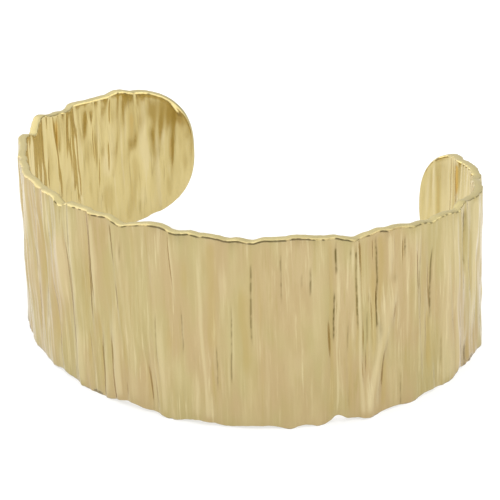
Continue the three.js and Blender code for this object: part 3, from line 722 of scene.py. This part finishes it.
def band_mesh():
    columns, rows = STEPS_MIDDLE + 2 * STEPS_END, STEPS_ACROSS
    grid_c, grid_r = np.meshgrid(np.arange(columns + 1), np.arange(rows + 1), indexing="ij")
    cells = [(grid_c.ravel(), grid_r.ravel(), SHEET / 2, RIM_ROUND)]
    border = border_cells(columns, rows)
    for step in range(1, STEPS_RIM):
        angle = math.pi * step / STEPS_RIM
        depth = SHEET / 2 * math.copysign(abs(math.cos(angle)) ** RIM_SQUARE, math.cos(angle))
        cells.append((border[:, 0], border[:, 1], depth, RIM_ROUND * (1 - math.sin(angle) ** RIM_SQUARE)))
    cells.append((grid_c.ravel(), grid_r.ravel(), -SHEET / 2, RIM_ROUND))

    points, charts, painted_shades, painted_light_values, matts, starts, total = [], [], [], [], [], [], 0
    for cell_columns, cell_rows, depth, inset in cells:
        along, across, edge = grid_places(cell_columns.astype(float), cell_rows.astype(float), inset)
        placed, chart, painted_shade, tone, matt = band_points(along, across, edge, depth, inset)
        starts.append(total)
        total += len(placed)
        points.append(placed)
        charts.append(chart)
        painted_shades.append(painted_shade)
        painted_light_values.append(tone)
        matts.append(matt)

    index = np.arange((columns + 1) * (rows + 1)).reshape(columns + 1, rows + 1)
    a, b, c, d = index[:-1, :-1], index[1:, :-1], index[1:, 1:], index[:-1, 1:]
    outer_quads = np.stack([a, b, c, d], axis=-1).reshape(-1, 4)
    inner_quads = np.stack([a, d, c, b], axis=-1).reshape(-1, 4) + starts[-1]
    loop = index[border[:, 0], border[:, 1]]
    loops = [loop] + [starts[k] + np.arange(len(border)) for k in range(1, STEPS_RIM)] + [loop + starts[-1]]
    quads = [outer_quads, inner_quads]
    for this, following in zip(loops, loops[1:]):
        quads.append(np.stack([this, following, np.roll(following, -1), np.roll(this, -1)], axis=-1))

    mesh = bpy.data.meshes.new("cuff_sheet")
    placed = lean_and_set_down(np.concatenate(points)) * MM
    mesh.from_pydata(placed.tolist(), [], np.concatenate(quads).tolist())
    chart = mesh.attributes.new("chart", "FLOAT_VECTOR", "POINT")
    chart.data.foreach_set("vector", np.concatenate(charts).astype(np.float32).ravel())
    for name, values in (("painted_shade", painted_shades), ("tone", painted_light_values), ("matt", matts)):
        attribute = mesh.attributes.new(name, "FLOAT", "POINT")
        attribute.data.foreach_set("value", np.concatenate(values).astype(np.float32))
    mesh.shade_smooth()
    mesh.validate()
    return mesh


# ---------------------------------------------------------------- the metal
def node(tree, kind, **settings):
    made = tree.nodes.new(kind)
    for name, value in settings.items():
        setattr(made, name, value)
    return made


def noise(tree, vector, scale, detail=3.0, rough=0.55):
    made = node(tree, "ShaderNodeTexNoise")
    made.inputs["Scale"].default_value = scale
    made.inputs["Detail"].default_value = detail
    made.inputs["Roughness"].default_value = rough
    tree.links.new(vector, made.inputs["Vector"])
    return made.outputs["Fac"]


def stretched(tree, chart, scale):
    made = node(tree, "ShaderNodeMapping")
    made.inputs["Scale"].default_value = scale
    tree.links.new(chart, made.inputs["Vector"])
    return made.outputs["Vector"]


def ramp(tree, value, low, high, out_low=0.0, out_high=1.0):
    made = node(tree, "ShaderNodeMapRange")
    made.interpolation_type = "SMOOTHSTEP"
    for name, number in zip(("From Min", "From Max", "To Min", "To Max"), (low, high, out_low, out_high)):
        made.inputs[name].default_value = number
    tree.links.new(value, made.inputs["Value"])
    return made.outputs["Result"]


def mix_colour(tree, factor, first, second):
    made = node(tree, "ShaderNodeMix", data_type="RGBA")
    tree.links.new(factor, made.inputs["Factor"])
    for socket, colour in ((made.inputs[6], first), (made.inputs[7], second)):
        if isinstance(colour, tuple):
            socket.default_value = (*colour, 1.0)
        else:
            tree.links.new(colour, socket)
    return made.outputs[2]


# Colours of the metal, tuned so that regions of the render average what the photograph does.
PATCH_ROSY = (0.487, 0.371, 0.189)
PATCH_GREEN = (0.47, 0.39, 0.182)
DRIFT_PALE = (0.565, 0.458, 0.24)
INSIDE_GOLD = (0.62, 0.508, 0.232)
STREAK_DEEP = (0.43, 0.34, 0.14)
STREAK_PALE = (0.66, 0.56, 0.32)
# Colours of painted light: a pale gold for painted highlights, a deep gold for painted shade, an orange for
# painted reflections in deep folds, and a dark brown for painted shade in the creases and under the upper rim.
PAINTED_HIGHLIGHT_GOLD = (0.69, 0.588, 0.345)
PAINTED_SHADE_GOLD = (0.45, 0.338, 0.118)
PAINTED_REFLECTION_ORANGE = (0.53, 0.325, 0.07)
PAINTED_SHADE_BROWN = (0.1, 0.072, 0.01)
RIM_GOLD = (0.47, 0.405, 0.2)
WHITE_EDGE = (1.0, 1.0, 1.0)
# Edge tints: orange where reflections are painted, dark where shade is painted.
PAINTED_REFLECTION_EDGE = (0.92, 0.76, 0.48)
PAINTED_SHADE_EDGE = (0.3, 0.22, 0.06)
PAINTED_LIGHT_STRENGTH = 0.45  # how strongly the charted light and shade is painted
PAINTED_REFLECTION_STRENGTH = 0.6
PAINTED_REFLECTION_FROM, PAINTED_REFLECTION_BY = -0.9, -1.9  # tones between which the painted orange reflection comes in
RIM_PAINT = 0.85
RIM_ROUGH = 0.5


def gold_material():
    """Pale gold, drifts of tint, and charted highlights, shade, reflections and shade lines painted in."""
    material = bpy.data.materials.new("pale_gold")
    material.use_nodes = True
    tree = material.node_tree
    shader = tree.nodes["Principled BSDF"]
    chart = node(tree, "ShaderNodeAttribute", attribute_name="chart").outputs["Vector"]
    painted_shade = node(tree, "ShaderNodeAttribute", attribute_name="painted_shade").outputs["Fac"]
    tone = node(tree, "ShaderNodeAttribute", attribute_name="tone").outputs["Fac"]
    matt = node(tree, "ShaderNodeAttribute", attribute_name="matt").outputs["Fac"]

    patches = noise(tree, stretched(tree, chart, (1.0, 0.3, 1.0)), 0.22, 2.0)
    drifts = noise(tree, stretched(tree, chart, (1.0, 0.16, 1.0)), 0.55, 3.0)
    streaks = noise(tree, stretched(tree, chart, (1.0, 0.05, 1.0)), 2.1, 3.0, 0.7)
    patchy = noise(tree, stretched(tree, chart, (1.0, 0.35, 1.0)), 0.3, 1.0)
    hairs = noise(tree, stretched(tree, chart, (1.0, 0.05, 1.0)), 4.0, 3.0, 0.6)

    colour = mix_colour(tree, ramp(tree, patches, 0.38, 0.62), PATCH_ROSY, PATCH_GREEN)
    colour = mix_colour(tree, ramp(tree, drifts, 0.45, 0.75, 0.0, 0.6), colour, DRIFT_PALE)
    inner = node(tree, "ShaderNodeSeparateXYZ")
    tree.links.new(chart, inner.inputs[0])
    colour = mix_colour(tree, ramp(tree, inner.outputs["Z"], 0.1, -0.1), colour, INSIDE_GOLD)
    strength = ramp(tree, patchy, 0.4, 0.6, 0.2, 0.75)
    for low, high, shade in ((0.5, 0.28, STREAK_DEEP), (0.52, 0.72, STREAK_PALE)):
        streak = node(tree, "ShaderNodeMath", operation="MULTIPLY")
        tree.links.new(ramp(tree, streaks, low, high), streak.inputs[0])
        tree.links.new(strength, streak.inputs[1])
        colour = mix_colour(tree, streak.outputs[0], colour, shade)
    # Painted light: highlights painted pale and shade painted deep, by the charted tone.
    colour = mix_colour(tree, ramp(tree, tone, 0.0, 1.0, 0.0, PAINTED_LIGHT_STRENGTH), colour, PAINTED_HIGHLIGHT_GOLD)
    colour = mix_colour(tree, ramp(tree, tone, 0.0, -1.0, 0.0, PAINTED_LIGHT_STRENGTH), colour, PAINTED_SHADE_GOLD)
    # Orange reflections of the gold painted into the deepest folds.
    painted_reflection = ramp(tree, tone, PAINTED_REFLECTION_FROM, PAINTED_REFLECTION_BY, 0.0, PAINTED_REFLECTION_STRENGTH)
    colour = mix_colour(tree, painted_reflection, colour, PAINTED_REFLECTION_ORANGE)
    # Shade painted into the creases and under the upper rim's edge, broken up by noise.
    broken = ramp(tree, noise(tree, stretched(tree, chart, (1.0, 0.6, 1.0)), 1.6, 2.0), 0.4, 0.55, 0.5, 1.0)
    line = node(tree, "ShaderNodeMath", operation="MULTIPLY")
    tree.links.new(painted_shade, line.inputs[0])
    tree.links.new(broken, line.inputs[1])
    colour = mix_colour(tree, line.outputs[0], colour, PAINTED_SHADE_BROWN)
    colour = mix_colour(tree, ramp(tree, matt, 0.0, 1.0, 0.0, RIM_PAINT), colour, RIM_GOLD)
    tree.links.new(colour, shader.inputs["Base Color"])
    shader.inputs["Metallic"].default_value = 1.0
    # The edge tint carries the painted light too: orange with the painted reflections, dark with the painted
    # shade.
    painted_reflection_edge = ramp(tree, tone, PAINTED_REFLECTION_FROM, PAINTED_REFLECTION_BY, 0.0, 0.9)
    edge = mix_colour(tree, painted_reflection_edge, WHITE_EDGE, PAINTED_REFLECTION_EDGE)
    edge = mix_colour(tree, line.outputs[0], edge, PAINTED_SHADE_EDGE)
    tree.links.new(edge, shader.inputs["Specular Tint"])
    roughness = node(tree, "ShaderNodeMath", operation="MAXIMUM")
    tree.links.new(ramp(tree, drifts, 0.3, 0.75, 0.17, 0.26), roughness.inputs[0])
    tree.links.new(ramp(tree, matt, 0.0, 1.0, 0.0, RIM_ROUGH), roughness.inputs[1])
    tree.links.new(roughness.outputs[0], shader.inputs["Roughness"])

    bump = node(tree, "ShaderNodeBump")
    bump.inputs["Strength"].default_value = 0.1
    bump.inputs["Distance"].default_value = 0.04 * MM
    tree.links.new(hairs, bump.inputs["Height"])
    tree.links.new(bump.outputs["Normal"], shader.inputs["Normal"])
    return material


# ---------------------------------------------------------------- the band
cuff = bpy.data.objects.new("cuff_sheet", band_mesh())
bpy.context.scene.collection.objects.link(cuff)
cuff.data.materials.append(gold_material())
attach(cuff, "root")
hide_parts("cuff_band")


# ---------------------------------------------------------------- floor, light and camera
FLOOR_HALF = 1.5
WHITE = (1.0, 1.0, 1.0, 1.0)
FLOOR_GREY = (0.4, 0.4, 0.4, 1.0)
FLOOR_GLOW = 0.63
WORLD_GLOW = 0.52

# The floor is pale grey and glows a little itself, so that it renders as white as in the photograph.
floor_mesh = bpy.data.meshes.new("floor")
corners = [(-1, -1), (1, -1), (1, 1), (-1, 1)]
floor_mesh.from_pydata([(x * FLOOR_HALF, y * FLOOR_HALF, 0.0) for x, y in corners], [], [(0, 1, 2, 3)])
floor = bpy.data.objects.new("floor", floor_mesh)
bpy.context.scene.collection.objects.link(floor)
floor_material = bpy.data.materials.new("white_floor")
floor_material.use_nodes = True
floor_shader = floor_material.node_tree.nodes["Principled BSDF"]
floor_shader.inputs["Base Color"].default_value = FLOOR_GREY
floor_shader.inputs["Roughness"].default_value = 0.9
floor_shader.inputs["Specular IOR Level"].default_value = 0.0
floor_shader.inputs["Emission Color"].default_value = WHITE
floor_shader.inputs["Emission Strength"].default_value = FLOOR_GLOW
floor_mesh.materials.append(floor_material)

world = bpy.data.worlds.new("studio")
world.use_nodes = True
world.node_tree.nodes["Background"].inputs["Color"].default_value = WHITE
world.node_tree.nodes["Background"].inputs["Strength"].default_value = WORLD_GLOW
bpy.context.scene.world = world


def softbox(name, place, aim, size, glow):
    """A rectangular area light at place, metres, facing aim. glow is how bright its face is."""
    data = bpy.data.lights.new(name, "AREA")
    data.shape = "RECTANGLE"
    data.size, data.size_y = size
    data.energy = glow * math.pi * size[0] * size[1]
    lamp = bpy.data.objects.new(name, data)
    lamp.location = place
    lamp.rotation_euler = (Vector(place) - Vector(aim)).to_track_quat("Z", "Y").to_euler()
    bpy.context.scene.collection.objects.link(lamp)
    return lamp


softbox("top_softbox", (0.0, 0.1, 0.7), (0.0, 0.0, 0.0), (1.1, 1.1), 1.0)
softbox("back_softbox", (-0.52, 0.74, 0.42), (0.0, 0.0, 0.0), (1.4, 0.7), 0.6)
softbox("right_softbox", (0.3, 0.03, 0.2), (0.05, 0.0, 0.0), (0.5, 0.42), 1.25)
softbox("left_softbox", (-0.3, -0.06, 0.2), (-0.05, 0.0, 0.0), (0.5, 0.42), 1.7)

CAMERA_AZIMUTH = math.radians(35.18)  # from -Y towards +X
CAMERA_ELEVATION = math.radians(29.02)
CAMERA_ROLL = math.radians(-3.87)
CAMERA_DISTANCE = 296.3 * MM
CAMERA_AIM = Vector((1.13, 2.03, 9.77)) * MM
CAMERA_LENS = 162.35  # mm, on a 36 mm sensor

camera_data = bpy.data.cameras.new("camera")
camera_data.lens = CAMERA_LENS
camera_data.sensor_width = 36.0
camera_data.clip_start = 0.01
camera = bpy.data.objects.new("camera", camera_data)
tip_down = Matrix.Rotation(math.pi / 2 - CAMERA_ELEVATION, 4, "X")
turntable = Matrix.Rotation(CAMERA_AZIMUTH, 4, "Z") @ tip_down
back_off = Matrix.Translation((0.0, 0.0, CAMERA_DISTANCE))
roll = Matrix.Rotation(CAMERA_ROLL, 4, "Z")
camera.matrix_world = Matrix.Translation(CAMERA_AIM) @ turntable @ roll @ back_off
bpy.context.scene.collection.objects.link(camera)
bpy.context.scene.camera = camera
bpy.context.scene.view_settings.view_transform = "Standard"
